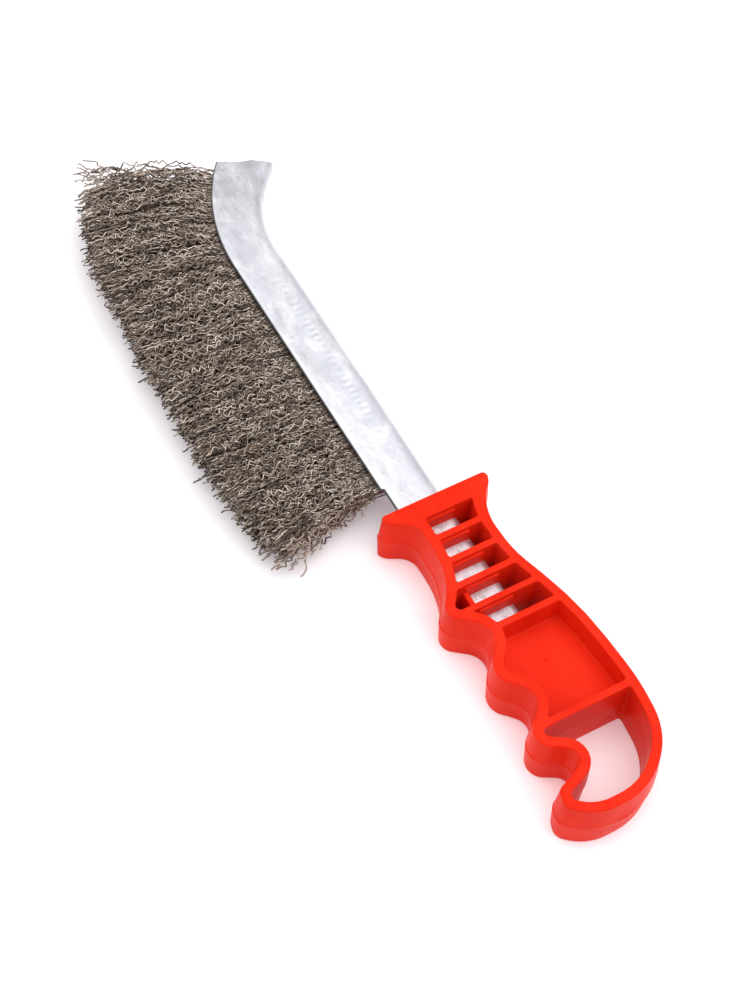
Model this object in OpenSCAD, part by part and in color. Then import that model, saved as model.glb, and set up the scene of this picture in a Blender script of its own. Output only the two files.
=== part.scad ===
// Wire brush: a strip of crimped steel wires held in a folded channel,
// with the channel's tang moulded into a plastic grip.
// It lies on its side: +X runs from toe to grip end, the wires point to -Y, +Z is up.

/* [Grip] */
// Thickness of the grip, which is what the brush lies on
grip_thick = 20; // [18:0.5:24]
// Width of the walls around the windows, the pocket and the hanging loop
wall = 3; // [2.4:0.1:3.2]
// Thickness of the web across the middle of the pocket
web_thick = 4; // [2:0.2:4.6]
// How far the sides lean out from each rim to the parting line
draft = 0.7; // [0.3:0.1:0.9]

/* [Channel] */
// Width of the folded channel
channel_width = 8.4; // [7.6:0.2:9.6]
// Depth of the channel from its mouth to its back
channel_depth = 15.6; // [14.6:0.2:16.4]
// Thickness of the galvanised sheet
sheet = 0.8; // [0.6:0.1:1]
// Outside radius of the two folds along the back
fold_r = 3.2; // [2.4:0.2:3.6]
// Bend radius of the toe, measured at the mouth
toe_r = 62; // [56:1:80]
// How far the toe bends back
toe_angle = 40; // [30:1:42]

/* [Wires] */
// Number of bundles that the wires are grouped in
bundle_count = 24; // [12:1:30]
// Length of the wires outside the channel, halfway along
wire_reach = 39.5; // [34:0.5:44]
// Thickness of the brush at the tips of the wires
tip_thick = 14; // [12:0.5:20]
// Diameter of the core wire that the wires are folded over
core_d = 3.2; // [2:0.2:3.6]

/* [Hidden] */
$fn = 64;
gap = 0.02;          // clearance between pieces that touch
bend_gap = 0.1;      // the same where a straight bundle sits in the bent toe
over = 1;            // how far a cutter runs past what it cuts
join = 0.3;          // how far stretches of one piece overlap, in mm or degrees
mid_z = grip_thick / 2;

// Grip outline at the rim, clockwise, as [x, y, corner radius]; x = 0 is near the flange's face.
flange_line = [[2.5, 1, 4.4], [-0.5, 0, 1], [-0.5, 35.5, 1.5], [3, 34.5, 4.5]];
back_line = [[9.5, 28, 18], [26, 28.5, 37], [49, 36, 105], [78.5, 38, 75], [96, 35.5, 22.5],
             [107, 22, 20.5], [107, 5.5, 15.5], [100.5, -1, 3.6]];
finger_line = [[95.5, 0.6, 2.8], [93, 7.5, 2.2], [89.5, 15, 3.8], [84.5, 6.5, 7.5],
               [80.5, -1.5, 5.3], [73, 8, 7.3], [68, 11, 5.5], [63, 6.5, 8.5],
               [58.5, 1.5, 6], [51, 7.5, 5.8], [45.5, 12.5, 6.6],
               [35.5, -0.5, 4.4], [28, 6, 22], [18.5, 8.5, 33]];
neck_end = [6.5, 8.5, 6.3];
rim_line = concat(flange_line, back_line, finger_line, [neck_end]);
inside_line = inset(concat([[0, 8.5, 1], [0, 34, 1]], back_line, finger_line), wall);

// Windows, pocket and loop, each as its [start, end] along the grip
windows = [[5.9, 11.9], [14, 20], [22.1, 28.1], [30.2, 36.2], [38.2, 44.2]];
pocket = [46.4, 76];
loop = [78.4, 110];
sleeve_out = 0.7;    // how far the sleeve over the tang stands out of each rib
sleeve_rim = 1.4;    // how far the sleeve stays below the rims
sleeve_span = [10.2, 21.4];
saddle_y = 11.1;     // plastic covers the tang's open side up to here
saddle_thick = 1.5;
ridge = 0.6;         // height of the band along the parting line

// Channel: the mouth's line, the straight run and the tang
mouth_y = 7;
bend_x = -103;       // where the straight run meets the bent toe
heel_x = -12;        // where the mouth steps back to the tang
tang_end = 45.2;
// Open side of the tang, and the notch in the lower leg beside the heel, both as [x, y]
tang_edge = [[-13, 6], [-11, 7.9], [2, 7.9], [4, 10.7], [37, 10.7], [46.5, 12.9]];
notch_edge = [[-16.7, 6], [-15.5, 12], [2, 12], [3.4, 10.7]];
lip = 0.5;           // how far the lips at the mouth turn in
lip_flat = 0.8;
lip_depth = 1.4;
bend_centre = [bend_x, mouth_y + toe_r];
inner_half = channel_width / 2 - sheet;
core_depth = channel_depth - sheet - inner_half;
core_back = 0.8;     // how far the core wire stays inside the heel
core_toe = 0.5;      // how many degrees it stays inside the toe

// Wires: positions run along the mouth, from the heel to the toe
straight_run = heel_x - bend_x;
fill_start = 0.4;
fill_end = straight_run + toe_r * toe_angle * PI / 180 - 1;
straight_count = round(bundle_count * straight_run / fill_end);
heel_lean = -10;     // lean of the wires at the heel, towards the grip
toe_lean = 19;       // lean of the wires at the toe
heel_fan = 28;       // length over which the heel's lean dies away
heel_loss = 4.2;     // how much shorter the wires reach at the heel
toe_gain = 2;        // how much longer they reach at the toe
swell = [6, 5];      // thickness beside the mouth: [distance out, half thickness]
swell_start = 0.6;   // distance out where they start to spread
shoulder = 0.05;     // how much narrower a bundle gets as it leaves the mouth

function bundle_name(i) = str("wire_bundle_", i < 10 ? "0" : "", i);
bundles = [for (i = [1 : bundle_count]) bundle_name(i)];

// ---- outlines ----
function unit(v) = v / norm(v);
function xy(p) = [p[0], p[1]];
function side(a) = [a[1], -a[0]];
function turn(a, b) = a[0] * b[1] - a[1] * b[0];

// The outline moved inwards by w (outwards when w is negative), keeping its arcs concentric
function inset(line, w) = [
    for (i = [0 : len(line) - 1])
    let (n = len(line), p = xy(line[(i + n - 1) % n]), c = xy(line[i]), q = xy(line[(i + 1) % n]),
         a = unit(c - p), b = unit(q - c), s = side(a) + side(b),
         v = c + s * w / (1 + side(a) * side(b)),
         r = line[i][2] + (turn(a, b) < 0 ? -w : w))
    [v[0], v[1], max(r, 0.4)]
];

// Points of the outline with each corner turned into an arc
function rounded(line) = [
    for (i = [0 : len(line) - 1])
    let (n = len(line), p = xy(line[(i + n - 1) % n]), c = xy(line[i]), q = xy(line[(i + 1) % n]),
         a = unit(p - c), b = unit(q - c), half = acos(a * b) / 2, r = line[i][2],
         centre = c + unit(a + b) * r / sin(half),
         from = c + a * r / tan(half) - centre, sweep = 180 - 2 * half,
         steps = max(2, ceil(sweep / 9)), way = sign(turn(-a, b)))
    for (k = [0 : steps])
    let (t = way * sweep * k / steps)
    centre + [from[0] * cos(t) - from[1] * sin(t), from[0] * sin(t) + from[1] * cos(t)]
];

// ---- the brush's own line ----
// Angle of the mouth, and the mouth's point, at a distance s from the heel
function bend_at(s) = max(0, s - straight_run) / toe_r * 180 / PI;
function outwards(angle) = [-sin(angle), -cos(angle)];
function mouth_at(s) = s < straight_run ? [heel_x - s, mouth_y]
                                        : bend_centre + toe_r * outwards(bend_at(s));
function lean_at(s) = heel_lean * pow(max(0, 1 - s / heel_fan), 2)
                    + toe_lean * pow(bend_at(s) / toe_angle, 0.8);
function reach_at(s) = wire_reach - heel_loss * pow(max(0, 1 - s / heel_fan), 2)
                     + toe_gain * bend_at(s) / toe_angle;
function tip_at(s) = mouth_at(s) + reach_at(s) * outwards(lean_at(s));
function along(i) = i <= straight_count
    ? fill_start + (straight_run - fill_start) * i / straight_count
    : straight_run + (fill_end - straight_run) * (i - straight_count) / (bundle_count - straight_count);

// ---- the frame: centred in X and Y on the whole brush, standing on Z = 0 ----
grip_points = rounded(inset(rim_line, -draft));
tip_points = [for (i = [0 : bundle_count]) tip_at(along(i))];
x_min = min([for (p = tip_points) p[0]]);
x_max = max([for (p = grip_points) p[0]]);
y_min = min([for (p = tip_points) p[1]]);
y_max = max([for (p = grip_points) p[1]]);

module place() {
    translate([-(x_min + x_max) / 2, -(y_min + y_max) / 2, 0]) children();
}

// ---- handle ----
module column(span) {
    translate([span[0], -over, -over])
        cube([span[1] - span[0], 2 * y_max, grip_thick + 2 * over]);
}

module hollow(span) {
    intersection() {
        translate([0, 0, -over])
            linear_extrude(grip_thick + 2 * over) polygon(rounded(inside_line));
        column(span);
    }
}

module pocket_halves() {
    difference() {
        hollow(pocket);
        translate([pocket[0] - over, -over, mid_z - web_thick / 2])
            cube([pocket[1] - pocket[0] + 2 * over, 2 * y_max, web_thick]);
    }
}

// Plastic that holds the tang inside a window
module sleeve(span) {
    translate([span[0] - over, sleeve_span[0], sleeve_rim])
        cube([sleeve_out + over, sleeve_span[1] - sleeve_span[0], grip_thick - 2 * sleeve_rim]);
}

module saddle(span) {
    translate([span[0] - over, saddle_y - saddle_thick, wall])
        cube([span[1] - span[0] + 2 * over, saddle_thick, grip_thick - 2 * wall]);
}

module grip_body() {
    linear_extrude(grip_thick) polygon(rounded(inset(rim_line, -draft / 2)));
    translate([0, 0, mid_z - ridge / 2])
        linear_extrude(ridge) polygon(rounded(inset(rim_line, -draft)));
}

module handle() {
    color("orangered") place() difference() {
        union() {
            difference() {
                grip_body();
                for (w = windows) hollow(w);
                pocket_halves();
                hollow(loop);
            }
            for (w = windows) sleeve(w);
            saddle(windows[3]);
        }
        straight_strip(heel_x, gap);
    }
}

// ---- channel ----
module fold_outline(half, depth, r) {
    translate([-over, -half]) square([depth - r + over, 2 * half]);
    translate([-over, r - half]) square([depth + over, 2 * (half - r)]);
    for (s = [-1, 1]) translate([depth - r, s * (half - r)]) circle(r);
}

// What lies inside the folded sheet, narrowed by the lips at the mouth
module inside_section(inner, g) {
    difference() {
        fold_outline(inner, channel_depth - sheet - g, fold_r - sheet - g);
        for (s = [-1, 1])
            polygon([[-2 * over, s * (inner + lip)], [-2 * over, s * (inner - lip)],
                     [lip_flat, s * (inner - lip)], [2 * lip_depth - lip_flat, s * (inner + lip)]]);
    }
}

// Cross-section: 2D x is the depth from the mouth, 2D y is the height from mid_z
module channel_section(g = 0) {
    difference() {
        intersection() {
            translate([0, -channel_width]) square([2 * channel_depth, 2 * channel_width]);
            fold_outline(channel_width / 2 + g, channel_depth + g, fold_r + g);
        }
        inside_section(inner_half - g, g);
    }
}

module straight_channel(from, to, g = 0) {
    translate([from, mouth_y, mid_z]) rotate([90, 0, 90])
        linear_extrude(to - from) channel_section(g);
}

// What the mouth loses below an edge line, from z = 0 up to the given height
module mouth_cut(edge, height, g) {
    translate([0, -g, 0]) linear_extrude(height)
        polygon(concat(edge, [[edge[len(edge) - 1][0], edge[0][1]]]));
}

// The straight run of the channel, which carries on as the tang
module straight_strip(from, g = 0) {
    difference() {
        straight_channel(from, tang_end + g, g);
        mouth_cut(tang_edge, grip_thick, g);
        mouth_cut(notch_edge, mid_z, g);
    }
}

// Swept round the toe's bend; back is how many degrees it reaches into the straight run
module toe_sweep(angle, back = 0) {
    translate([bend_centre[0], bend_centre[1], mid_z])
        rotate([0, 0, -90 - angle]) rotate_extrude(angle = angle + back) children();
}

// The bent toe is a hair thinner than the straight run, and starts inside its end
module channel() {
    color("gainsboro") place() {
        straight_strip(bend_x);
        toe_sweep(toe_angle, join) translate([toe_r, 0]) mirror([1, 0]) channel_section(-gap);
    }
}

// ---- core wire ----
module straight_core(r, length) {
    translate([bend_x, mouth_y + core_depth, mid_z]) rotate([0, 90, 0])
        cylinder(h = length, r = r);
}

module bent_core(r, angle, back = 0) {
    toe_sweep(angle, back) translate([toe_r - core_depth, 0]) circle(r);
}

module core_wire() {
    color("silver") place() {
        straight_core(core_d / 2, straight_run - core_back);
        bent_core(core_d / 2 - gap, toe_angle - core_toe, join);
    }
}

// ---- wires ----
// Inside the channel: a round fold over the core wire, then a neck between the lips
module fold_section(g) {
    half = inner_half - g;
    translate([core_depth, 0]) circle(half);
    translate([lip_depth + g, -half]) square([core_depth - lip_depth - g, 2 * half]);
    translate([-g, lip - half]) square([core_depth, 2 * (half - lip)]);
}

// Outside: the brush swells from the mouth to the tips; 2D x is the distance out
module swell_section() {
    neck = inner_half - lip - bend_gap - shoulder;
    far = 2 * wire_reach;
    far_half = swell[1] + (tip_thick / 2 - swell[1]) * (far - swell[0]) / (wire_reach - swell[0]);
    polygon([[-over, -neck], [swell_start, -neck], [swell[0], -swell[1]], [far, -far_half],
             [far, far_half], [swell[0], swell[1]], [swell_start, neck], [-over, neck]]);
}

// A section standing on a point of the mouth, its 2D x along outwards(angle)
module laid(point, angle) {
    translate([point[0], point[1], mid_z]) rotate([90, 0, -90 - angle])
        linear_extrude(2 * wire_reach, center = true) children();
}

module slice(points) {
    linear_extrude(2 * grip_thick) polygon(points);
}

module wire_bundle(i) {
    s0 = along(i - 1) + gap;
    s1 = along(i) - gap;
    sm = (s0 + s1) / 2;
    m0 = mouth_at(s0);
    m1 = mouth_at(s1);
    n0 = mouth_at(s0 + shoulder);
    n1 = mouth_at(s1 - shoulder);
    deep = channel_depth;
    play = i <= straight_count ? gap : bend_gap;
    shade = i % 2 == 0 ? [0.56, 0.53, 0.5] : [0.62, 0.59, 0.56];
    color(shade) place() difference() {
        union() {
            intersection() {
                slice([m0 - deep * outwards(bend_at(s0)), m0, m1, m1 - deep * outwards(bend_at(s1))]);
                laid(mouth_at(sm), bend_at(sm) + 180) fold_section(play);
            }
            intersection() {
                slice([n0 - join * outwards(bend_at(s0)), n0, tip_at(s0),
                       tip_at(s1), n1, n1 - join * outwards(bend_at(s1))]);
                laid(mouth_at(sm), lean_at(sm)) swell_section();
            }
        }
        if (i <= straight_count) straight_core(core_d / 2 + gap, straight_run);
        else bent_core(core_d / 2 + gap, toe_angle);
    }
}

handle();
channel();
core_wire();
for (i = [1 : bundle_count])
    wire_bundle(i);
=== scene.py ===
# Looks of the wire brush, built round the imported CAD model. Lengths are millimetres in the
# brush's own layout (x = 0 at the grip's flange, y = 0 at its lowest rim), turned into the
# frame's metres by to_frame(). Lights and textures are in the frame's metres.
import math

import bmesh
import bpy
import numpy as np
from mathutils import Matrix, Vector


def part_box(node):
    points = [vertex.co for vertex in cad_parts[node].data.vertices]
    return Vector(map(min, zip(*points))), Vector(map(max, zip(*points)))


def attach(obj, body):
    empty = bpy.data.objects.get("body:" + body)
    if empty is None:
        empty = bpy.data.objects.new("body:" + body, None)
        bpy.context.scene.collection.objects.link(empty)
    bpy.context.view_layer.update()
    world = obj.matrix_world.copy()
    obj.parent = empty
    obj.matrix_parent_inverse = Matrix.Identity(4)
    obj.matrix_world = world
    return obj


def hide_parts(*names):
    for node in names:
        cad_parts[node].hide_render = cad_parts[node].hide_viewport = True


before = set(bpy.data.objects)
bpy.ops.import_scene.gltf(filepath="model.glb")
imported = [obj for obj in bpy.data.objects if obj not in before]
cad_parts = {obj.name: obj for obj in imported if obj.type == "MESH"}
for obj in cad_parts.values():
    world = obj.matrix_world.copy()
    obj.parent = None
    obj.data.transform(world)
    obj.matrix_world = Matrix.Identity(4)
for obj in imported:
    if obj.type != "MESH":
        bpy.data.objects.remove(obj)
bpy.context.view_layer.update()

MM = 0.001
THICK = 20.0                      # grip, from rim to rim
MID = THICK / 2

# ---- the brush's layout, as in the CAD: outlines are corners as (x, y, radius) ----
FLANGE = [(2.5, 1, 4.4), (-0.5, 0, 1), (-0.5, 35.5, 1.5), (3, 34.5, 4.5)]
BACK = [(9.5, 28, 18), (26, 28.5, 37), (49, 36, 105), (78.5, 38, 75), (96, 35.5, 22.5),
        (107, 22, 20.5), (107, 5.5, 15.5), (100.5, -1, 3.6)]
FINGERS = [(95.5, 0.6, 2.8), (93, 7.5, 2.2), (89.5, 15, 3.8), (84.5, 6.5, 7.5), (80.5, -1.5, 5.3),
           (73, 8, 7.3), (68, 11, 5.5), (63, 6.5, 8.5), (58.5, 1.5, 6), (51, 7.5, 5.8),
           (45.5, 12.5, 6.6), (35.5, -0.5, 4.4), (28, 6, 22), (18.5, 8.5, 33)]
NECK = [(6.5, 8.5, 6.3)]
INNER_FRONT = [(0, 8.5, 1), (0, 34, 1)]
RIM_WALL = 3.0
WINDOWS = [(5.9, 11.9), (14.0, 20.0), (22.1, 28.1), (30.2, 36.2), (38.2, 44.2)]
POCKET = (46.4, 76.0)
LOOP = (78.4, 110.0)
WEB = 4.0
GATE = (57.3, 21.0)

MOUTH_Y = 7.0
HEEL_X = -12.0
BEND_X = -103.0
TANG_END = 45.2
TOE_R = 62.0
TOE_ANGLE = math.radians(40)
# open side of the tang as (x, y), and that of its lower leg, which has a notch beside the heel
GRIP_EDGE = ((37, 10.7), (46.5, 12.9))
TANG_EDGE = ((-12, 7), (-11, 7.9), (2, 7.9), (4, 10.7)) + GRIP_EDGE
NOTCH_EDGE = ((-16.5, 7), (-15.5, 12), (2, 12), (3.4, 10.7)) + GRIP_EDGE
DEPTH = 15.6
HALF = 4.2
SHEET = 0.8
FOLD_R = 3.2
STRAIGHT = HEEL_X - BEND_X
TOE_RUN = TOE_R * TOE_ANGLE
CORE_DEPTH = DEPTH - HALF

channel_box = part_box("channel")
SHIFT = np.array([channel_box[1][0] / MM - TANG_END, channel_box[0][1] / MM - MOUTH_Y, 0.0])


def to_frame(points):
    """Layout points in mm as frame points in metres."""
    return (np.asarray(points, float) + SHIFT) * MM


# ---------------------------------------------------------------- camera, light, floor
CAMERA_AZIMUTH, CAMERA_ELEVATION, CAMERA_ROLL = 55.08, 57.702, 6.399
CAMERA_LENS = 82.8
CAMERA_TARGET = (-16.494, 8.904, 0)         # layout point
CAMERA_DISTANCE = 0.68089                   # metres
SOFTBOX_SIZE = 1.2
WORLD_COLOUR, WORLD_STRENGTH = (0.99, 0.965, 1.0), 0.68
FLOOR_HALF = 3.0


def camera():
    """The product shot's long lens, looking down at the brush from beyond its wires."""
    azimuth, elevation = math.radians(CAMERA_AZIMUTH), math.radians(CAMERA_ELEVATION)
    roll = math.radians(CAMERA_ROLL)
    back = Vector((math.sin(azimuth) * math.cos(elevation),
                   -math.cos(azimuth) * math.cos(elevation), math.sin(elevation)))
    right = Vector((0, 0, 1)).cross(back).normalized()
    up = back.cross(right)
    right, up = (math.cos(roll) * right + math.sin(roll) * up,
                 math.cos(roll) * up - math.sin(roll) * right)
    data = bpy.data.cameras.new("camera")
    data.sensor_width = 36
    data.lens = CAMERA_LENS
    data.clip_start, data.clip_end = 0.01, 20
    obj = bpy.data.objects.new("camera", data)
    bpy.context.scene.collection.objects.link(obj)
    target = Vector(to_frame(CAMERA_TARGET))
    place = Matrix((right, up, back)).transposed().to_4x4()
    place.translation = target + back * CAMERA_DISTANCE
    obj.matrix_world = place
    bpy.context.scene.camera = obj


def softbox(name, place, power):
    """A square area light that faces the frame's origin."""
    data = bpy.data.lights.new(name, "AREA")
    data.size = SOFTBOX_SIZE
    data.energy = power
    obj = bpy.data.objects.new(name, data)
    bpy.context.scene.collection.objects.link(obj)
    obj.location = place
    obj.rotation_euler = (-Vector(place)).to_track_quat("-Z", "Y").to_euler()


def studio():
    scene = bpy.context.scene
    scene.view_settings.view_transform = "Standard"
    world = bpy.data.worlds.new("studio")
    scene.world = world
    world.use_nodes = True
    back = world.node_tree.nodes["Background"]
    back.inputs["Color"].default_value = (*WORLD_COLOUR, 1)
    back.inputs["Strength"].default_value = WORLD_STRENGTH
    softbox("key_softbox", (0.22, 0.30, 1.0), 9)
    softbox("fill_softbox", (-0.5, -0.55, 0.9), 5)


def floor_mesh():
    bm = bmesh.new()
    bmesh.ops.create_grid(bm, x_segments=1, y_segments=1, size=FLOOR_HALF)
    mesh = bpy.data.meshes.new("floor")
    bm.to_mesh(mesh)
    bm.free()
    return mesh


# ---------------------------------------------------------------- material helpers
class Nodes:
    """A material's node tree, with short calls for the nodes used here."""

    def __init__(self, name):
        self.material = bpy.data.materials.new(name)
        self.material.use_nodes = True
        self.tree = self.material.node_tree
        self.shader = self.tree.nodes["Principled BSDF"]
        self.where = None

    def add(self, kind, **values):
        node = self.tree.nodes.new(kind)
        for key, value in values.items():
            setattr(node, key, value)
        return node

    def link(self, a, b):
        self.tree.links.new(a, b)

    def coordinates(self, scale=(1, 1, 1)):
        """Object coordinates, which are frame metres."""
        if self.where is None:
            self.where = self.add("ShaderNodeTexCoord")
        mapping = self.add("ShaderNodeMapping")
        mapping.inputs["Scale"].default_value = scale
        self.link(self.where.outputs["Object"], mapping.inputs["Vector"])
        return mapping.outputs["Vector"]

    def along(self, axis):
        split = self.add("ShaderNodeSeparateXYZ")
        self.link(self.coordinates(), split.inputs[0])
        return split.outputs[axis]

    def noise(self, scale, detail=3, rough=0.5, stretch=(1, 1, 1), distortion=0.0):
        node = self.add("ShaderNodeTexNoise")
        node.inputs["Scale"].default_value = scale
        node.inputs["Detail"].default_value = detail
        node.inputs["Roughness"].default_value = rough
        node.inputs["Distortion"].default_value = distortion
        self.link(self.coordinates(stretch), node.inputs["Vector"])
        return node.outputs["Fac"]

    def cells(self, scale, stretch):
        node = self.add("ShaderNodeTexVoronoi")
        node.inputs["Scale"].default_value = scale
        self.link(self.coordinates(stretch), node.inputs["Vector"])
        return node.outputs["Distance"]

    def span(self, value, low, high, to_low, to_high):
        """value between low and high, as a number between to_low and to_high."""
        node = self.add("ShaderNodeMapRange")
        for key, number in zip(("From Min", "From Max", "To Min", "To Max"),
                               (low, high, to_low, to_high)):
            node.inputs[key].default_value = number
        self.link(value, node.inputs["Value"])
        return node.outputs["Result"]

    def math(self, operation, *values):
        node = self.add("ShaderNodeMath", operation=operation)
        for socket, value in zip(node.inputs, values):
            if isinstance(value, (int, float)):
                socket.default_value = value
            else:
                self.link(value, socket)
        return node.outputs[0]

    def mix(self, factor, a, b):
        node = self.add("ShaderNodeMix", data_type="RGBA")
        self.link(factor, node.inputs["Factor"])
        for key, value in (("A", a), ("B", b)):
            socket = [s for s in node.inputs if s.name == key and s.type == "RGBA"][0]
            if isinstance(value, tuple):
                socket.default_value = (*value, 1)
            else:
                self.link(value, socket)
        return [s for s in node.outputs if s.type == "RGBA"][0]

    def bump(self, height, distance, strength, after=None):
        node = self.add("ShaderNodeBump")
        node.inputs["Strength"].default_value = strength
        node.inputs["Distance"].default_value = distance
        self.link(height, node.inputs["Height"])
        if after is not None:
            self.link(after, node.inputs["Normal"])
        return node.outputs["Normal"]

    def set(self, **values):
        """Values and links for the shader's own sockets. Returns the material."""
        for key, value in values.items():
            socket = self.shader.inputs[key.replace("_", " ")]
            if isinstance(value, bpy.types.NodeSocket):
                self.link(value, socket)
            elif isinstance(value, tuple) and len(value) == 3 and socket.type == "RGBA":
                socket.default_value = (*value, 1)
            else:
                socket.default_value = value
        return self.material


# ---------------------------------------------------------------- materials
PLASTIC_DEEP, PLASTIC_BRIGHT = (0.68, 0.018, 0.004), (0.79, 0.026, 0.007)
# paler red for patches that are partly scuffing, partly painted sheen in place of the walls' glossy
# reflections
PLASTIC_SCUFF_SHEEN = (0.70, 0.055, 0.035)

ZINC_GREY, ZINC_BRIGHT = (0.62, 0.63, 0.66), (0.88, 0.89, 0.91)
ZINC_STREAKED, ZINC_PATCHED = (0.50, 0.51, 0.53), (0.50, 0.52, 0.58)
ZINC_TOE_GREY, ZINC_SPECKED = (0.40, 0.41, 0.42), (0.30, 0.30, 0.31)
# pink-grey for the tang's smudges: the pink is a painted reflection of the red grip
SMUDGE_RED_REFLECTION = (0.36, 0.21, 0.21)
# near black for the mouth's edge: painted shadow under the lip
MOUTH_SHADOW_BLACK = (0.035, 0.032, 0.03)
TOE_GREY_FROM, TOE_GREY_TO = -0.118, -0.080         # x of the grey toe, frame metres
SMUDGE_REFLECTION_FROM, SMUDGE_REFLECTION_TO = 0.022, 0.028       # x at which the tang's smudged part, with its painted red reflection, starts
TANG_SET_BACK = 0.0009                      # the tang's edge from the mouth's line
EDGE_SHADOW_FULL, EDGE_SHADOW_END = 0.0002, 0.0005      # width of the painted shadow at full strength along the mouth's edge, and where it ends

STEEL_DEEP, STEEL_BRIGHT = (0.34, 0.34, 0.34), (0.50, 0.50, 0.50)
PAPER, PAPER_GLOW = (0.93, 0.92, 0.93), (1.0, 0.96, 1.0)


def plastic():
    """Orange-red injection-moulded plastic, satin, with faint flow marks, orange peel, and paler
    patches that are partly scuffing and partly painted sheen.
    """
    n = Nodes("grip_plastic")
    flow = n.noise(45, 3, 0.55, (1, 2.2, 1), 0.6)
    fine = n.noise(420, 3, 0.5)
    scuffs_and_sheen = n.noise(70, 6, 0.7, (1, 1, 1.8), 0.8)
    colour = n.mix(n.span(flow, 0.3, 0.7, 0, 1), PLASTIC_DEEP, PLASTIC_BRIGHT)
    # paler patches: partly scuffing, partly painted sheen standing in for glossy reflections on the
    # walls
    colour = n.mix(n.span(scuffs_and_sheen, 0.52, 0.72, 0, 0.22), colour, PLASTIC_SCUFF_SHEEN)
    peel = n.bump(fine, 0.00004, 0.5)
    wavy = n.bump(flow, 0.0006, 0.25, peel)
    rough = n.math("ADD", n.span(fine, 0.2, 0.8, 0.28, 0.40), n.span(scuffs_and_sheen, 0.5, 0.7, 0, 0.12))
    return n.set(Base_Color=colour, Roughness=rough, Normal=wavy, IOR=1.49, Specular_IOR_Level=0.05,
                 Subsurface_Weight=0.15, Subsurface_Radius=(1.0, 0.2, 0.1), Subsurface_Scale=0.004)


def depth_in_sheet(n):
    """Distance in metres from the mouth's line, straight run and bent toe alike."""
    bend_x, centre_y, _ = to_frame((BEND_X, MOUTH_Y + TOE_R, 0))
    beyond = n.math("MINIMUM", n.math("SUBTRACT", n.along("X"), float(bend_x)), 0.0)
    across = n.math("SUBTRACT", float(centre_y), n.along("Y"))
    square = n.math("ADD", n.math("MULTIPLY", beyond, beyond), n.math("MULTIPLY", across, across))
    return n.math("SUBTRACT", TOE_R * MM, n.math("SQRT", square))


def mouth_edge_shadow(n):
    """Mask of the painted shadow under the lip: strong on the sheet's cut edge and a thin strip of
    face beside it, then fading out. On the tang the edge stands further back.
    """
    tang_x = float(to_frame((HEEL_X + 0.5, 0, 0))[0])
    blend = 0.3 * MM
    edge_at = n.span(n.along("X"), tang_x - blend, tang_x + blend, 0.0, TANG_SET_BACK)
    past_edge = n.math("SUBTRACT", depth_in_sheet(n), edge_at)
    return n.span(past_edge, EDGE_SHADOW_FULL, EDGE_SHADOW_END, 0.92, 0)


def galvanised():
    """Rolled galvanised sheet: dull zinc with mottling, spangle, rolling streaks and a grey toe;
    smudges on the tang tinted pink as a painted reflection of the red grip, and a painted shadow
    along the mouth's edge.
    """
    n = Nodes("galvanised_sheet")
    mottle = n.noise(210, 7, 0.75, (0.6, 1, 1), 0.3)
    patches = n.noise(75, 4, 0.6, (0.7, 1, 1), 0.5)
    streak = n.noise(160, 4, 0.6, (0.12, 1, 1))
    grain = n.noise(900, 4, 0.7)
    smudge_reflection_noise = n.noise(330, 5, 0.7, (0.8, 1, 1), 0.5)
    spangle = n.cells(330, (0.8, 1, 1))
    tone = n.mix(n.span(mottle, 0.3, 0.7, 0, 1), ZINC_GREY, ZINC_BRIGHT)
    tone = n.mix(n.span(streak, 0.35, 0.75, 0, 0.3), tone, ZINC_STREAKED)
    tone = n.mix(n.span(patches, 0.49, 0.55, 0, 0.36), tone, ZINC_PATCHED)
    # darker grey blotches towards the toe
    toe_grey = n.math("MULTIPLY", n.span(n.along("X"), TOE_GREY_FROM, TOE_GREY_TO, 0.8, 0),
                  n.span(mottle, 0.4, 0.6, 0.75, 0.15))
    tone = n.mix(toe_grey, tone, ZINC_TOE_GREY)
    # on the tang inside the grip: dark smudges, tinted pink as a painted reflection of the red
    # plastic round it
    smudge_and_reflection = n.math("MULTIPLY", n.span(n.along("X"), SMUDGE_REFLECTION_FROM, SMUDGE_REFLECTION_TO, 0, 1),
                    n.span(smudge_reflection_noise, 0.48, 0.66, 0, 0.65))
    tone = n.mix(smudge_and_reflection, tone, SMUDGE_RED_REFLECTION)
    tone = n.mix(n.span(grain, 0.58, 0.72, 0, 0.45), tone, ZINC_SPECKED)
    # the mouth's edge painted near black: painted shadow under the lip
    tone = n.mix(mouth_edge_shadow(n), tone, MOUTH_SHADOW_BLACK)
    rough = n.math("ADD", n.span(mottle, 0.25, 0.75, 0.36, 0.52), n.span(spangle, 0, 1, 0.0, 0.1))
    fine = n.bump(grain, 0.00003, 0.4)
    ridges = n.bump(streak, 0.00010, 0.3, fine)
    dents = n.bump(patches, 0.00014, 0.20, ridges)
    return n.set(Base_Color=tone, Metallic=0.85, Roughness=rough, Normal=dents)


def core_steel():
    """Drawn wire: faint draw lines along it."""
    n = Nodes("core_steel")
    lines = n.noise(900, 3, 0.6, (0.05, 1, 1))
    tone = n.mix(n.span(lines, 0.3, 0.7, 0, 1), STEEL_DEEP, STEEL_BRIGHT)
    return n.set(Base_Color=tone, Metallic=0.9, Roughness=n.span(lines, 0.3, 0.7, 0.28, 0.40))


WIRE_SHADES = [
    # base colour, roughness: drawn wire tarnishes in lengths
    ((0.36, 0.300, 0.245), 0.36),
    ((0.23, 0.180, 0.145), 0.42),
    ((0.49, 0.420, 0.355), 0.33),
    ((0.12, 0.094, 0.078), 0.48),
    ((0.56, 0.495, 0.435), 0.32),
    ((0.29, 0.215, 0.175), 0.40),
]
WIRE_MIX = [0.28, 0.20, 0.18, 0.12, 0.10, 0.12]


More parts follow.
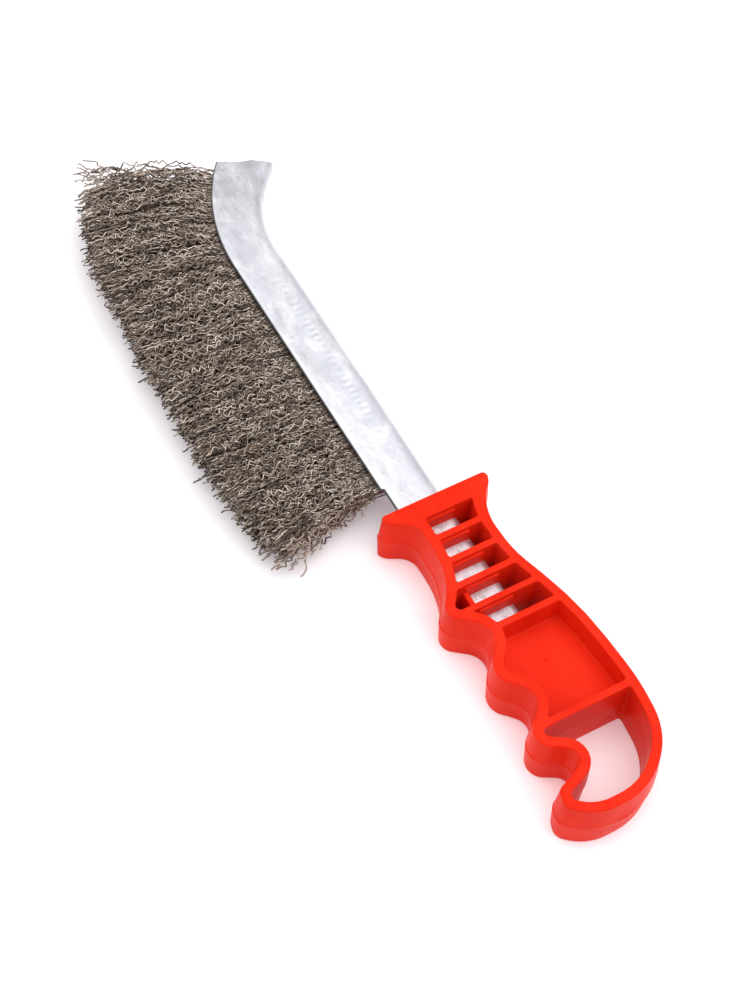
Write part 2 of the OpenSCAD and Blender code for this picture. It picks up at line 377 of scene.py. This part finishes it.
def wire_materials():
    """One steel per shade. The values stay on the shader: a wire is too thin for a pattern."""
    out = []
    for i, (colour, rough) in enumerate(WIRE_SHADES):
        n = Nodes(f"crimped_wire_{i + 1}")
        out.append(n.set(Base_Color=colour, Metallic=0.75, Roughness=rough))
    return out


def paper():
    n = Nodes("white_floor")
    return n.set(Base_Color=PAPER, Roughness=0.9, Specular_IOR_Level=0.1,
                 Emission_Color=PAPER_GLOW, Emission_Strength=0.12)


# ---------------------------------------------------------------- outlines
ARC_STEP = 6.0                    # degrees between the points of a corner


def unit(v):
    return v / np.linalg.norm(v)


def right_of(v):
    return np.array([v[1], -v[0]])


def bell(x, centre, width):
    """A smooth bump of height 1."""
    return np.exp(-((x - centre) / width) ** 2)


def corners(line):
    """Each corner of a control outline as (one before, corner, one after, radius)."""
    for i, (_, _, r) in enumerate(line):
        yield *(np.array(line[j % len(line)][:2], float) for j in (i - 1, i, i + 1)), r


def inset(line, w):
    """A control outline moved inwards by w, with its arcs kept concentric."""
    out = []
    for before, here, after, r in corners(line):
        a, b = unit(here - before), unit(after - here)
        s = right_of(a) + right_of(b)
        v = here + s * w / (1 + right_of(a) @ right_of(b))
        convex = a[0] * b[1] - a[1] * b[0] < 0
        out.append((v[0], v[1], max(r + (-w if convex else w), 0.4)))
    return out


def rounded(line):
    """Points of a control outline, with each corner an arc."""
    out = []
    for before, here, after, r in corners(line):
        a, b = unit(before - here), unit(after - here)
        half = math.acos(max(-1, min(1, a @ b))) / 2
        centre = here + unit(a + b) * r / math.sin(half)
        start = here + a * r / math.tan(half) - centre
        sweep = math.pi - 2 * half
        way = 1 if -a[0] * b[1] + a[1] * b[0] > 0 else -1
        steps = max(2, math.ceil(math.degrees(sweep) / ARC_STEP))
        for k in range(steps + 1):
            t = way * sweep * k / steps
            out.append(centre + (start[0] * math.cos(t) - start[1] * math.sin(t),
                                 start[0] * math.sin(t) + start[1] * math.cos(t)))
    return np.array(out)


def even(points, spacing):
    """A closed ring with points about spacing apart."""
    closed = np.vstack([points, points[:1]])
    along = np.r_[0, np.cumsum(np.hypot(*np.diff(closed, axis=0).T))]
    count = max(12, int(round(along[-1] / spacing)))
    at = np.linspace(0, along[-1], count, endpoint=False)
    return np.column_stack([np.interp(at, along, closed[:, 0]), np.interp(at, along, closed[:, 1])])


def soften(ring, passes):
    """A ring with its points drawn towards their neighbours."""
    for _ in range(passes):
        ring = (np.roll(ring, 1, 0) + 2 * ring + np.roll(ring, -1, 0)) / 4
    return ring


def cut_at(points, x, keep_right):
    """A polygon cut by the line at x."""
    out = []
    for p, q in zip(points, np.roll(points, -1, 0)):
        p_in = (p[0] >= x) == keep_right
        q_in = (q[0] >= x) == keep_right
        if p_in:
            out.append(p)
        if p_in != q_in:
            out.append(p + (q - p) * (x - p[0]) / (q[0] - p[0]))
    return np.array(out)


def left_normals(ring):
    ahead = np.roll(ring, -1, 0) - np.roll(ring, 1, 0)
    ahead /= np.linalg.norm(ahead, axis=1)[:, None]
    return np.column_stack([-ahead[:, 1], ahead[:, 0]])


def hollow_ring(span, spacing):
    """Outline of the hollow between two ribs, inside the grip's rim wall."""
    inside = rounded(inset(INNER_FRONT + BACK + FINGERS, RIM_WALL))
    return soften(even(cut_at(cut_at(inside, span[0], True), span[1], False), spacing), 6)


# ---------------------------------------------------------------- meshes
def finish_mesh(name, bm, material, smooth_angle=35):
    mesh = bpy.data.meshes.new(name)
    bm.to_mesh(mesh)
    bm.free()
    mesh.shade_smooth()
    mesh.set_sharp_from_angle(angle=math.radians(smooth_angle))
    mesh.materials.append(material)
    return mesh


def add_object(name, mesh):
    obj = bpy.data.objects.new(name, mesh)
    bpy.context.scene.collection.objects.link(obj)
    return obj


def new_row(bm, points):
    """New vertices at layout points."""
    return [bm.verts.new(p) for p in to_frame(points)]


def bridge(bm, rows):
    """Quads between each closed row of vertices and the next."""
    for a, b in zip(rows, rows[1:]):
        for i in range(len(a)):
            j = (i + 1) % len(a)
            bm.faces.new((a[i], a[j], b[j], b[i]))


def ring_edges(row):
    return [e for a, b in zip(row, row[1:] + row[:1]) for e in a.link_edges if e.other_vert(a) is b]


# ---------------------------------------------------------------- grip
DRAFT = 0.62                      # how far the outer wall swells from rim to mid-height
RIM_R = 0.65                      # rounding of the outer rim edges
HOLE_R = 0.32                     # rounding of the hollows' edges
FOOT_R = 0.7                      # rounding of a pocket's foot
FLASH_X, FLASH_Y = 107, 15.5
GATE_POINTS = 28
# shallow dished ring with a small broken nub: (radius, rise)
GATE_STEPS = [(1.35, 0), (1.15, -0.10), (0.8, -0.13), (0.42, -0.12), (0.34, 0.10), (0.26, 0.22),
              (0.12, 0.16)]
# plastic round the tang behind each rib, and the saddle across the fourth window
IN_RIB = 0.9
SLEEVE_REACH, SLEEVE_Y, SLEEVE_DEEP, SLEEVE_BEVEL = 0.65, (10.1, 21.4), 1.4, 0.55
SADDLE_Y, SADDLE_DEEP, SADDLE_BEVEL = (9.5, 11.15), 3.2, 0.5
TANG_GAP = 0.03
TANG_ARC = 6


def mould_shift(z):
    """How far the lower mould half sits from the upper one, which is a small step at mid-height."""
    share = min(1, max(0, (MID + 0.15 - z) / 0.45))
    return share * np.array([-0.12, -0.20])


def loft(bm, ring, profile, extra=lambda ring, z: 0):
    """Walls along a ring, as rows of vertices. profile: (z, offset to the left of the ring)."""
    normals = left_normals(ring)
    rows = []
    for z, offset in profile:
        out = np.full(len(ring), offset) + extra(ring, z)
        flat = ring + normals * out[:, None] + mould_shift(z)
        rows.append(new_row(bm, np.column_stack([flat, np.full(len(flat), z)])))
    bridge(bm, rows)
    return rows


def fillet(radius, z_flat, down, steps=4):
    """(z, distance back from the wall) of a rounded edge, from the flat towards the wall."""
    out = []
    for k in range(steps + 1):
        t = math.pi / 2 * k / steps
        out.append((z_flat - down * radius * (1 - math.cos(t)), radius * (1 - math.sin(t))))
    return out


def outer_profile():
    """The grip's outer wall, with the raised parting line at mid-height."""
    top = [(z, -d) for z, d in fillet(RIM_R, THICK, 1)]
    bottom = [(z, -d) for z, d in fillet(RIM_R, 0, -1)][::-1]
    reach = MID - RIM_R - 0.3
    walls = [(THICK - RIM_R - reach * k / 5, DRAFT * k / 5) for k in range(1, 6)]
    rise = ((0.22, 0.01), (0.08, 0.03), (0, 0.04), (-0.10, 0.04), (-0.22, 0.02), (-0.34, 0.01))
    ridge = [(MID + up, DRAFT + out) for up, out in rise]
    lower = [(THICK - z, d) for z, d in walls][::-1]
    return top + walls + ridge + lower + bottom


def flash(ring, z):
    """The torn bit of flash on the parting line at the grip's end."""
    near = bell(ring[:, 0], FLASH_X, 1.6) * bell(ring[:, 1], FLASH_Y, 3.6)
    torn = 0.6 + 0.4 * np.sin(ring[:, 1] * 5.3) * np.sin(ring[:, 1] * 2.1 + 1)
    return near * torn * 0.5 * bell(z, MID, 0.35)


def through_profile():
    """A hole's wall, seen from its middle: it opens a little towards both rims."""
    top = [(z, d + 0.05) for z, d in fillet(HOLE_R, THICK, 1, 3)]
    bottom = [(THICK - z, d) for z, d in top][::-1]
    middle = [(15.5, -0.1), (12.5, -0.18), (MID + 0.1, -0.25), (MID - 0.1, -0.25),
              (7.5, -0.18), (4.5, -0.1)]
    return top + middle + bottom


def floor_profile():
    """A pocket's wall from the rim down to the web, with a rounded foot."""
    web_z = MID + WEB / 2
    top = [(z, d + 0.05) for z, d in fillet(HOLE_R, THICK, 1, 3)]
    foot = []
    for k in range(5):
        t = math.pi / 2 * k / 4
        foot.append((web_z + FOOT_R * (1 - math.sin(t)), -0.25 - FOOT_R * (1 - math.cos(t))))
    return top + [(17, -0.1), (14, -0.2)] + foot


def mirrored(profile):
    return [(THICK - z, d) for z, d in profile]


def gate_mark(bm, z, up):
    """Sprue gate on the web. Returns its outermost row."""
    angle = np.linspace(0, -2 * math.pi, GATE_POINTS, endpoint=False)
    circle = np.column_stack([np.cos(angle), np.sin(angle)])
    rows = []
    for radius, rise in GATE_STEPS:
        flat = np.array(GATE) + circle * radius
        rows.append(new_row(bm, np.column_stack([flat, np.full(GATE_POINTS, z + up * rise)])))
    bridge(bm, rows)
    bm.faces.new(rows[-1])
    return rows[0]


def block(low, high, bevel):
    """A bevelled block between two corners."""
    bm = bmesh.new()
    low, high = to_frame(low), to_frame(high)
    bmesh.ops.create_cube(bm, size=1)
    for v in bm.verts:
        v.co = [low[k] + (v.co[k] + 0.5) * (high[k] - low[k]) for k in range(3)]
    bmesh.ops.bevel(bm, geom=bm.edges[:], offset=bevel * MM, segments=3, affect="EDGES", profile=0.5)
    return bm


def tang_depth(x, lower):
    """How far inside the mouth's line the tang's upper or lower leg starts."""
    edge = np.array(NOTCH_EDGE if lower else TANG_EDGE)
    return float(np.interp(x, edge[:, 0], edge[:, 1])) - MOUTH_Y


def tang_cutter():
    """The tang's outer shape, which the ribs are moulded round with a hair of clearance."""
    half, depth, r = HALF + TANG_GAP, DEPTH + TANG_GAP, FOLD_R + TANG_GAP
    leg = [(8, half)] + [(depth - r + r * math.sin(t), half - r + r * math.cos(t))
                         for t in np.linspace(0, math.pi / 2, TANG_ARC)]
    bm = bmesh.new()
    rows = []
    for x in (-3, 2, 3.4, 4, 37, TANG_END + TANG_GAP):
        upper = [(tang_depth(x, False) - TANG_GAP, half)] + leg
        lower = [(tang_depth(x, True) - TANG_GAP, -half)] + [(d, -h) for d, h in leg]
        rows.append(new_row(bm, [(x, MOUTH_Y + d, MID + h) for d, h in upper + lower[::-1]]))
    bridge(bm, rows)
    bm.faces.new(rows[0][::-1])
    bm.faces.new(rows[-1])
    bmesh.ops.recalc_face_normals(bm, faces=bm.faces[:])
    return bm


def boolean(target, tools, operation):
    """Join or cut with each tool in turn, and remove the tools."""
    for tool in tools:
        modifier = target.modifiers.new("cut", "BOOLEAN")
        modifier.operation = operation
        modifier.solver = "EXACT"
        modifier.object = tool
        with bpy.context.temp_override(object=target, active_object=target):
            bpy.ops.object.modifier_apply(modifier=modifier.name)
        bpy.data.objects.remove(tool)


def build_handle(material):
    bm = bmesh.new()
    outline = soften(even(rounded(FLANGE + BACK + FINGERS + NECK), 0.36), 1)
    outer = loft(bm, outline, outer_profile(), flash)
    tops, bottoms = [outer[0]], [outer[-1]]
    for span, spacing in [(window, 0.26) for window in WINDOWS] + [(LOOP, 0.32)]:
        rows = loft(bm, hollow_ring(span, spacing), through_profile())
        tops.append(rows[0])
        bottoms.append(rows[-1])
    ring = hollow_ring(POCKET, 0.32)
    for profile, rims, z, up in ((floor_profile(), tops, MID + WEB / 2, 1),
                                 (mirrored(floor_profile()), bottoms, MID - WEB / 2, -1)):
        rows = loft(bm, ring, profile)
        rims.append(rows[0])
        edges = ring_edges(rows[-1]) + ring_edges(gate_mark(bm, z, up))
        bmesh.ops.triangle_fill(bm, use_beauty=True, edges=edges)
    for rims in (tops, bottoms):
        edges = [e for row in rims for e in ring_edges(row)]
        bmesh.ops.triangle_fill(bm, use_beauty=True, edges=edges)
    bmesh.ops.recalc_face_normals(bm, faces=bm.faces[:])
    handle = add_object("grip", finish_mesh("grip", bm, material))

    blocks = [block((x0 - IN_RIB, SLEEVE_Y[0], SLEEVE_DEEP),
                    (x0 + SLEEVE_REACH, SLEEVE_Y[1], THICK - SLEEVE_DEEP), SLEEVE_BEVEL)
              for x0, _ in WINDOWS]
    x0, x1 = WINDOWS[3]
    blocks.append(block((x0 - IN_RIB, SADDLE_Y[0], SADDLE_DEEP),
                        (x1 + IN_RIB, SADDLE_Y[1], THICK - SADDLE_DEEP), SADDLE_BEVEL))
    tools = [add_object(f"tool_{k}", finish_mesh(f"tool_{k}", b, material))
             for k, b in enumerate(blocks)]
    boolean(handle, tools, "UNION")
    cutter = add_object("tool_tang", finish_mesh("tool_tang", tang_cutter(), material))
    boolean(handle, [cutter], "DIFFERENCE")
    handle.data.shade_smooth()
    handle.data.set_sharp_from_angle(angle=math.radians(38))
    normals = handle.modifiers.new("even_normals", "WEIGHTED_NORMAL")
    normals.keep_sharp = True
    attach(handle, "root")
    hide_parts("handle")


# ---------------------------------------------------------------- the brush's line
REACH = 39.6                      # length of a free wire end
HEEL_SHORTER, BEND_SHORTER, TOE_LONGER = 4.2, 1.8, 2.6
HEEL_FAN = math.radians(-10)      # the wires at the heel lean towards the grip


def bend_at(s):
    """The channel's turn at a distance s from the heel."""
    return np.maximum(0, s - STRAIGHT) / TOE_R


def mouth_at(s):
    """Point of the mouth's centre line at a distance s from the heel."""
    s = np.asarray(s, float)
    b = bend_at(s)
    straight = np.stack([HEEL_X - s, np.full_like(s, MOUTH_Y)], -1)
    bent = np.stack([BEND_X - TOE_R * np.sin(b), MOUTH_Y + TOE_R - TOE_R * np.cos(b)], -1)
    return np.where((s < STRAIGHT)[..., None], straight, bent)


def lean_at(s, u):
    """Direction of the wires at a share u of their length: they leave the toe square to its mouth."""
    heel = HEEL_FAN * np.maximum(0, 1 - s / 28) ** 2
    return heel + bend_at(s) * (0.92 - 0.85 * u * u * (3 - 2 * u))


def reach_at(s):
    """Length of the free wire ends along the brush."""
    heel = HEEL_SHORTER * np.maximum(0, 1 - s / 26) ** 2
    bend = BEND_SHORTER * bell(s, STRAIGHT + 3, 10)
    return REACH - heel - bend + TOE_LONGER * (bend_at(s) / TOE_ANGLE) ** 2


def outwards(angle):
    return np.stack([-np.sin(angle), -np.cos(angle)], -1)


# ---------------------------------------------------------------- channel
OUTER_LIP, INNER_LIP = 0.28, 0.5  # how far the sheet's faces close in at the mouth
TOE_LENGTH = 26                   # the toe's pressed stretch
TOE_DEEPER, TOE_FLATTER = 0.12, 0.17
TOE_SLANT = math.radians(15)
BOW = 0.25                        # of the straight run's back
TAPER_IN = 1.2                    # depth over which the cut-back tang's edge is drawn in
TANG_EASE = 8.0                   # length over which the brush's pinch fades into the tang
MARK_MIDDLE, MARK_HALF, MARK_FADE = 46, 26, 9
MARK_DEPTH, MARK_HEIGHT, MARK_PITCH = 9.6, 0.09, 2.3


def sheet_face(half, depth, r, lip, inner):
    """One face of the folded sheet as a line of (depth, height), from lip to lip."""
    side = [(0.06, half - lip + 0.03) if inner else (0.0, half - lip)]
    side += [(0.5, half - lip * 0.72), (1.0, half - lip * 0.3), (1.6, half)]
    side += [(d, half) for d in np.linspace(2.6, depth - r - 0.6, 14)]
    turn = [(depth - r + r * math.sin(t), half - r + r * math.cos(t))
            for t in np.linspace(0, math.pi / 2, 9)]
    back = [(depth, h) for h in np.linspace(half - r, 0, 4)[1:]]
    upper = side + turn + back
    return upper + [(d, -h) for d, h in upper[-2::-1]]


def channel_profile():
    """The folded sheet's section as a closed ring: outer face, then inner face backwards."""
    outer = sheet_face(HALF, DEPTH, FOLD_R, OUTER_LIP, False)
    inner = sheet_face(HALF - SHEET, DEPTH - SHEET, FOLD_R - SHEET, INNER_LIP, True)
    return np.array(outer + inner[::-1])


def rolling_marks(s, depth, phase):
    """Short ridges across the sheet where rollers pinched it on the wires."""
    on_brush = bell(max(0, abs(s - MARK_MIDDLE) - MARK_HALF), 0, MARK_FADE)
    height = MARK_HEIGHT * on_brush * bell(depth, MARK_DEPTH, 1.1)
    height *= 0.65 + 0.25 * math.sin(s / 4.3 + phase[6]) + 0.2 * math.sin(s / 1.7 + phase[7])
    return height * np.sin(2 * math.pi * s / MARK_PITCH + 0.9 * np.sin(s / 5.0) + 0.5 * (depth - 9))


def waviness(s, depth, toe, phase):
    """The sheet's slow waves, stronger at the pressed toe."""
    wave = 0.03 * np.sin(s / 7 + phase[0]) * np.sin(depth / 3 + phase[1])
    wave += 0.018 * np.sin(s / 2.9 + phase[2] + depth / 4) + 0.03 * np.sin(s / 17 + phase[3])
    return wave + 0.10 * toe * np.sin(s / 2.2 + phase[4]) * np.sin(depth / 2.1 + phase[5])


def channel_section(s, profile, phase):
    """Layout points of the sheet's section at a distance s from the heel."""
    toe = max(0.0, (s - (STRAIGHT + TOE_RUN - TOE_LENGTH)) / TOE_LENGTH)
    tang = min(1.0, max(0.0, -s / TANG_EASE))
    depth, height = profile.T
    side = np.sign(height)
    flatness = np.clip((DEPTH - FOLD_R + 0.4 - depth) / 1.5, 0, 1)
    # the tang's open side is cut back
    x = HEEL_X - s
    first = np.where(side < 0, tang_depth(x, True), tang_depth(x, False))
    depth = np.where(depth < first + TAPER_IN,
                     first + depth * (TAPER_IN / (first + TAPER_IN)), depth)
    # pressed flatter and deeper at the toe
    depth = depth * (1 + TOE_DEEPER * toe ** 1.6)
    height = height * (1 - TOE_FLATTER * toe ** 2)
    # the sides hug the core and are pinched between it and the mouth
    hug = 0.10 * bell(depth, CORE_DEPTH, 1.6) - 0.14 * bell(depth, 6, 2.6)
    relief = rolling_marks(s, depth, phase) + waviness(s, depth, toe, phase) + hug * (1 - tang)
    height = height + side * flatness * relief
    # the toe's end is cut at a slant, a little raggedly
    ragged = 0.5 * bell(depth, 10.5, 1.4) + 0.1 * np.sin(depth * 2.3 + side)
    slant = (depth * math.tan(TOE_SLANT) + ragged) * max(0.0, (toe - 0.55) / 0.45) ** 1.5
    b = float(bend_at(s))
    inwards = np.array([math.sin(b), math.cos(b)])
    ahead = np.array([-math.cos(b), math.sin(b)])
    flat = mouth_at(s) + depth[:, None] * inwards + slant[:, None] * ahead
    bow = BOW * math.sin(math.pi * min(1, max(0, s / STRAIGHT)))
    flat[:, 1] += bow * depth / DEPTH
    return np.column_stack([flat, MID + height])


def build_channel(material):
    profile = channel_profile()
    end = STRAIGHT + TOE_RUN
    stations = np.concatenate([np.arange(HEEL_X - TANG_END, -1.3, 0.8), np.arange(-1.3, 0.5, 0.16),
                               np.arange(0.5, end, 0.6), [end]])
    phase = np.random.default_rng(7).uniform(0, 2 * math.pi, 8)
    bm = bmesh.new()
    rows = [new_row(bm, channel_section(s, profile, phase)) for s in stations]
    bridge(bm, rows)
    count = len(profile)
    for row in (rows[0], rows[-1]):
        for i in range(count // 2 - 1):
            bm.faces.new((row[i], row[i + 1], row[count - 2 - i], row[count - 1 - i]))
    bmesh.ops.recalc_face_normals(bm, faces=bm.faces[:])
    channel = add_object("strip_channel", finish_mesh("strip_channel", bm, material, 40))
    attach(channel, "root")
    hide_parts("channel")


# ---------------------------------------------------------------- wires
WIRES = 1150
BUNDLES = 24
WIRE_R = 0.26                      # half the diagonal of a square wire, like a 0.4 mm round one
SIDES = 4
OUT_POINTS = 112                   # points along each free end
TARNISH_RUNS = 18                  # stretches of each wire with a shade of their own
FILL_START = 0.4                   # filled part of the mouth, from the heel
FILL_END = STRAIGHT + TOE_RUN - 1
STRAIGHT_BUNDLES = round(BUNDLES * STRAIGHT / FILL_END)

# the brush's thickness: kept up to SPREAD_FROM out of the mouth, up by SPREAD_SOON of itself at
# SPREAD_TO, and by a further SPREAD_LATE at FREE_LENGTH
SPREAD_FROM, SPREAD_TO, SPREAD_SOON, SPREAD_LATE = 1.2, 8.0, 1.33, 0.67
FREE_LENGTH = 39
# spreads of single wires, and of the strays: direction in radians, length and height in mm
LEAN, STRAY_LEAN, STRAY_CURL = 0.045, 0.11, 0.32
UNEVEN, STRAY_LONGER = 1.1, 3.0
LIFT, STRAY_LIFT = 0.4, 1.3
TWIST = 1.6
# slow wanders along a wire: number of waves, their lengths, their spread
ANGLE_WANDER = (3, (4, 14), 0.15)
HEIGHT_WANDER = (3, (4, 13), 0.33)
SIZE_WANDER = (2, (3, 10), 0.28)
PHASE_WANDER = (3, (3, 10), 0.8)
CRIMP_PITCH = (2.5, 4.0)
CRIMP_SIZE = (0.45, 0.88)
FREE_AFTER = 6                     # distance from the mouth at which a wire goes its own way
# height of the wires at the mouth, and radius of their fold over the core, by layer
LAYER_LOW, LAYER_SPAN = 0.2, 1.7
FOLD_LOW, FOLD_SPAN = 1.85, 1.3
# tufts: how many, and the spreads of lean, curl, lift and length
TUFTS = 300
TUFT_SPREADS = (0.03, 0.05, 0.4, 0.9)
TUFT_WIDE, TUFT_HIGH = 1.6, 0.8
TUFT_PULL = 0.011                  # turn towards the tuft's middle, radians for each mm from it
# shares of strays, everywhere and at the two ends
STRAYS, TOE_STRAYS, HEEL_STRAYS = 0.02, 0.5, 0.25
TOE_THINNED = 0.72                 # share of the last wires that sit elsewhere instead


def bundle_edge(i):
    if i <= STRAIGHT_BUNDLES:
        return FILL_START + (STRAIGHT - FILL_START) * i / STRAIGHT_BUNDLES
    return STRAIGHT + (FILL_END - STRAIGHT) * (i - STRAIGHT_BUNDLES) / (BUNDLES - STRAIGHT_BUNDLES)


def ramp(x, start, length):
    """0 up to start, then evenly up to 1."""
    return np.clip((x - start) / length, 0, 1)


def swell(t):
    """How many times thicker the brush is at a distance t out of the channel."""
    soon = SPREAD_SOON * ramp(t, SPREAD_FROM, SPREAD_TO - SPREAD_FROM)
    return 1 + soon + SPREAD_LATE * np.maximum(0, t - SPREAD_TO) / (FREE_LENGTH - SPREAD_TO)


def waves(rng, t, count, lengths, size):
    """A slow random wander along each wire: a few sines of random length and phase."""
    total = 0
    for _ in range(count):
        length = rng.uniform(*lengths, len(t))[:, None]
        start = rng.uniform(0, 2 * math.pi, len(t))[:, None]
        height = rng.normal(0, size, len(t))[:, None]
        total = total + height * np.sin(2 * math.pi * t / length + start)
    return total


def strand(rng, s, z0, tuft, stray):
    """Centre line points of the free ends of many wires, from the mouth outwards."""
    n = len(s)
    length = reach_at(s) + rng.normal(0, UNEVEN, n) + tuft[:, 3]
    length += stray * rng.uniform(0, STRAY_LONGER, n)
    u = np.linspace(0, 1, OUT_POINTS)[None, :]
    t = u * length[:, None]
    free = np.clip(t / FREE_AFTER, 0, 1)
    own = rng.normal(0, LEAN, n) + tuft[:, 0] + stray * rng.normal(0, STRAY_LEAN, n)
    angle = lean_at(s[:, None], u) + (own[:, None] + waves(rng, t, *ANGLE_WANDER)) * free
    angle += (tuft[:, 1] + stray * rng.normal(0, STRAY_CURL, n))[:, None] * u
    ahead = outwards(angle)
    across = np.stack([np.cos(angle), -np.sin(angle)], -1)
    steps = ahead * (length / (OUT_POINTS - 1))[:, None, None]
    base = mouth_at(s)[:, None, :] + np.cumsum(steps, 1) - steps
    lift = tuft[:, 2] + rng.normal(0, LIFT, n) + stray * rng.normal(0, STRAY_LIFT, n)
    z = z0[:, None] * swell(t) + lift[:, None] * u ** 1.3 + waves(rng, t, *HEIGHT_WANDER) * free
    # crimp: sharp waves in a plane that turns along the wire, flatter at the mouth and the tip
    pitch = rng.uniform(*CRIMP_PITCH, n)[:, None]
    size = rng.uniform(*CRIMP_SIZE, n)[:, None] * (1 + waves(rng, t, *SIZE_WANDER))
    size = size * np.clip(t / 1.5, 0.1, 1) * np.clip((length[:, None] - t) / 4, 0.35, 1)
    start = rng.uniform(0, 2 * math.pi, n)[:, None]
    turn = 2 * math.pi * t / pitch + start + waves(rng, t, *PHASE_WANDER)
    roll = rng.uniform(0, 2 * math.pi, n)[:, None] + rng.normal(0, TWIST, n)[:, None] * u
    crimp = size * (np.sin(turn) - np.sin(3 * turn) / 9)
    sideways = crimp * np.cos(roll)
    upwards = crimp * np.sin(roll) * np.clip((t - 0.6) / 4, 0.1, 1)
    flat = base + across * sideways[..., None]
    height = np.maximum(MID + z + upwards, WIRE_R)
    return np.concatenate([flat, height[..., None]], -1)


def fold(s, r, z_a, z_b):
    """The part of each wire inside the channel, from its upper end's mouth to its lower one's."""
    b = bend_at(s)
    inwards = np.stack([np.sin(b), np.cos(b)], -1)
    mouth = mouth_at(s)
    shares = np.linspace(0.06, 0.92, 4)
    path = [(k * CORE_DEPTH, z_a + (r - z_a) * k) for k in shares]
    for theta in np.linspace(0, math.pi, 7):
        path.append((CORE_DEPTH + r * math.sin(theta), r * math.cos(theta)))
    path += [(k * CORE_DEPTH, z_b + (-r - z_b) * k) for k in shares[::-1]]
    points = []
    for depth, z in path:
        depth = np.broadcast_to(depth, s.shape)
        points.append(np.column_stack([mouth + inwards * depth[:, None], MID + z]))
    return np.stack(points, 1)


def tubes(paths):
    """Closed tubes along many paths at once: (vertices, quads, end caps)."""
    n, m, _ = paths.shape
    ahead = np.gradient(paths, axis=1)
    ahead /= np.linalg.norm(ahead, axis=2)[..., None]
    no_wire_runs_along = np.array([0.13, 0.21, 0.97])
    first = np.cross(ahead, no_wire_runs_along)
    first /= np.linalg.norm(first, axis=2)[..., None]
    second = np.cross(ahead, first)
    verts = []
    for k in range(SIDES):
        t = 2 * math.pi * k / SIDES
        verts.append(paths + WIRE_R * (math.cos(t) * first + math.sin(t) * second))
    verts = np.stack(verts, 2)
    index = np.arange(n * m * SIDES).reshape(n, m, SIDES)
    a = index[:, :-1, :]
    b = index[:, 1:, :]
    quads = np.stack([a, b, np.roll(b, -1, 2), np.roll(a, -1, 2)], -1).reshape(n, -1, 4)
    caps = np.stack([index[:, 0, ::-1], index[:, -1, :]], 1)
    return verts.reshape(-1, 3), quads, caps


def wire_mesh(name, verts, quads, caps, shades, materials):
    """A mesh from arrays. quads: (wires, n, 4), caps: (wires, 2, SIDES), shades: (wires, runs)."""
    n = len(quads)
    per_quads, per_caps = quads.shape[1], caps.shape[1]
    per_wire = per_quads + per_caps
    loops = np.concatenate([quads.reshape(n, -1), caps.reshape(n, -1)], 1).ravel()
    sizes = np.tile(np.r_[np.full(per_quads, 4), np.full(per_caps, SIDES)], n)
    starts = np.r_[0, np.cumsum(sizes)[:-1]]
    mesh = bpy.data.meshes.new(name)
    mesh.vertices.add(len(verts))
    mesh.vertices.foreach_set("co", to_frame(verts).ravel())
    mesh.loops.add(len(loops))
    mesh.loops.foreach_set("vertex_index", loops.astype(np.int32))
    mesh.polygons.add(len(sizes))
    mesh.polygons.foreach_set("loop_start", starts.astype(np.int32))
    tarnish = shades[:, np.arange(per_wire) * TARNISH_RUNS // per_wire]
    mesh.polygons.foreach_set("material_index", tarnish.ravel().astype(np.int32))
    mesh.update(calc_edges=True)
    mesh.validate()
    for material in materials:
        mesh.materials.append(material)
    mesh.shade_smooth()
    return mesh


def tufts(rng, s, z):
    """How neighbouring wires lean together: lean, curl, lift and length of each wire's tuft."""
    centres = rng.uniform(0, FILL_END, TUFTS)
    heights = rng.uniform(-2.7, 2.7, TUFTS)
    spread = np.column_stack([rng.normal(0, size, TUFTS) for size in TUFT_SPREADS])
    gap = ((s[:, None] - centres) / TUFT_WIDE) ** 2 + ((z[:, None] - heights) / TUFT_HIGH) ** 2
    mine = np.argmin(gap, 1)
    pull = spread[mine]
    pull[:, 0] -= TUFT_PULL * (centres[mine] - s)
    return pull


def wire_places(rng):
    """Distances of the wires from the heel, in order, with fewer at the very toe."""
    s = rng.uniform(FILL_START + 0.2, FILL_END - 0.2, WIRES)
    thinned = rng.uniform(0, 1, WIRES) < TOE_THINNED * ramp(s, FILL_END - 9.5, 6)
    return np.sort(np.where(thinned, s - rng.uniform(9, 100, WIRES), s))


def build_wires(materials):
    rng = np.random.default_rng(20)
    s = wire_places(rng)
    layer = rng.uniform(0, 1, WIRES)
    r = FOLD_LOW + FOLD_SPAN * layer
    z_a = LAYER_LOW + LAYER_SPAN * layer + rng.normal(0, 0.11, WIRES)
    z_b = -(LAYER_LOW + LAYER_SPAN * layer) + rng.normal(0, 0.11, WIRES)
    odds = STRAYS + TOE_STRAYS * ramp(s, FILL_END - 9, 5) + HEEL_STRAYS * ramp(-s, -3, 2)
    stray = (rng.uniform(0, 1, WIRES) < odds).astype(float)
    upper = strand(rng, s, z_a, tufts(rng, s, z_a), stray)
    lower = strand(rng, s, z_b, tufts(rng, s, z_b), np.roll(stray, 3))
    paths = np.concatenate([upper[:, ::-1], fold(s, r, z_a, z_b), lower], 1)
    shades = rng.choice(len(WIRE_SHADES), (WIRES, TARNISH_RUNS), p=WIRE_MIX)
    for i in range(1, BUNDLES + 1):
        mine = (s >= bundle_edge(i - 1)) & (s < bundle_edge(i))
        name = f"wires_{i:02d}"
        piece = add_object(name, wire_mesh(name, *tubes(paths[mine]), shades[mine], materials))
        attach(piece, "root")
        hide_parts(f"wire_bundle_{i:02d}")


# ---------------------------------------------------------------- put together
def main():
    camera()
    studio()
    floor = add_object("floor", floor_mesh())
    floor.data.materials.append(paper())
    build_handle(plastic())
    build_channel(galvanised())
    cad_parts["core_wire"].material_slots[0].material = core_steel()
    build_wires(wire_materials())


main()
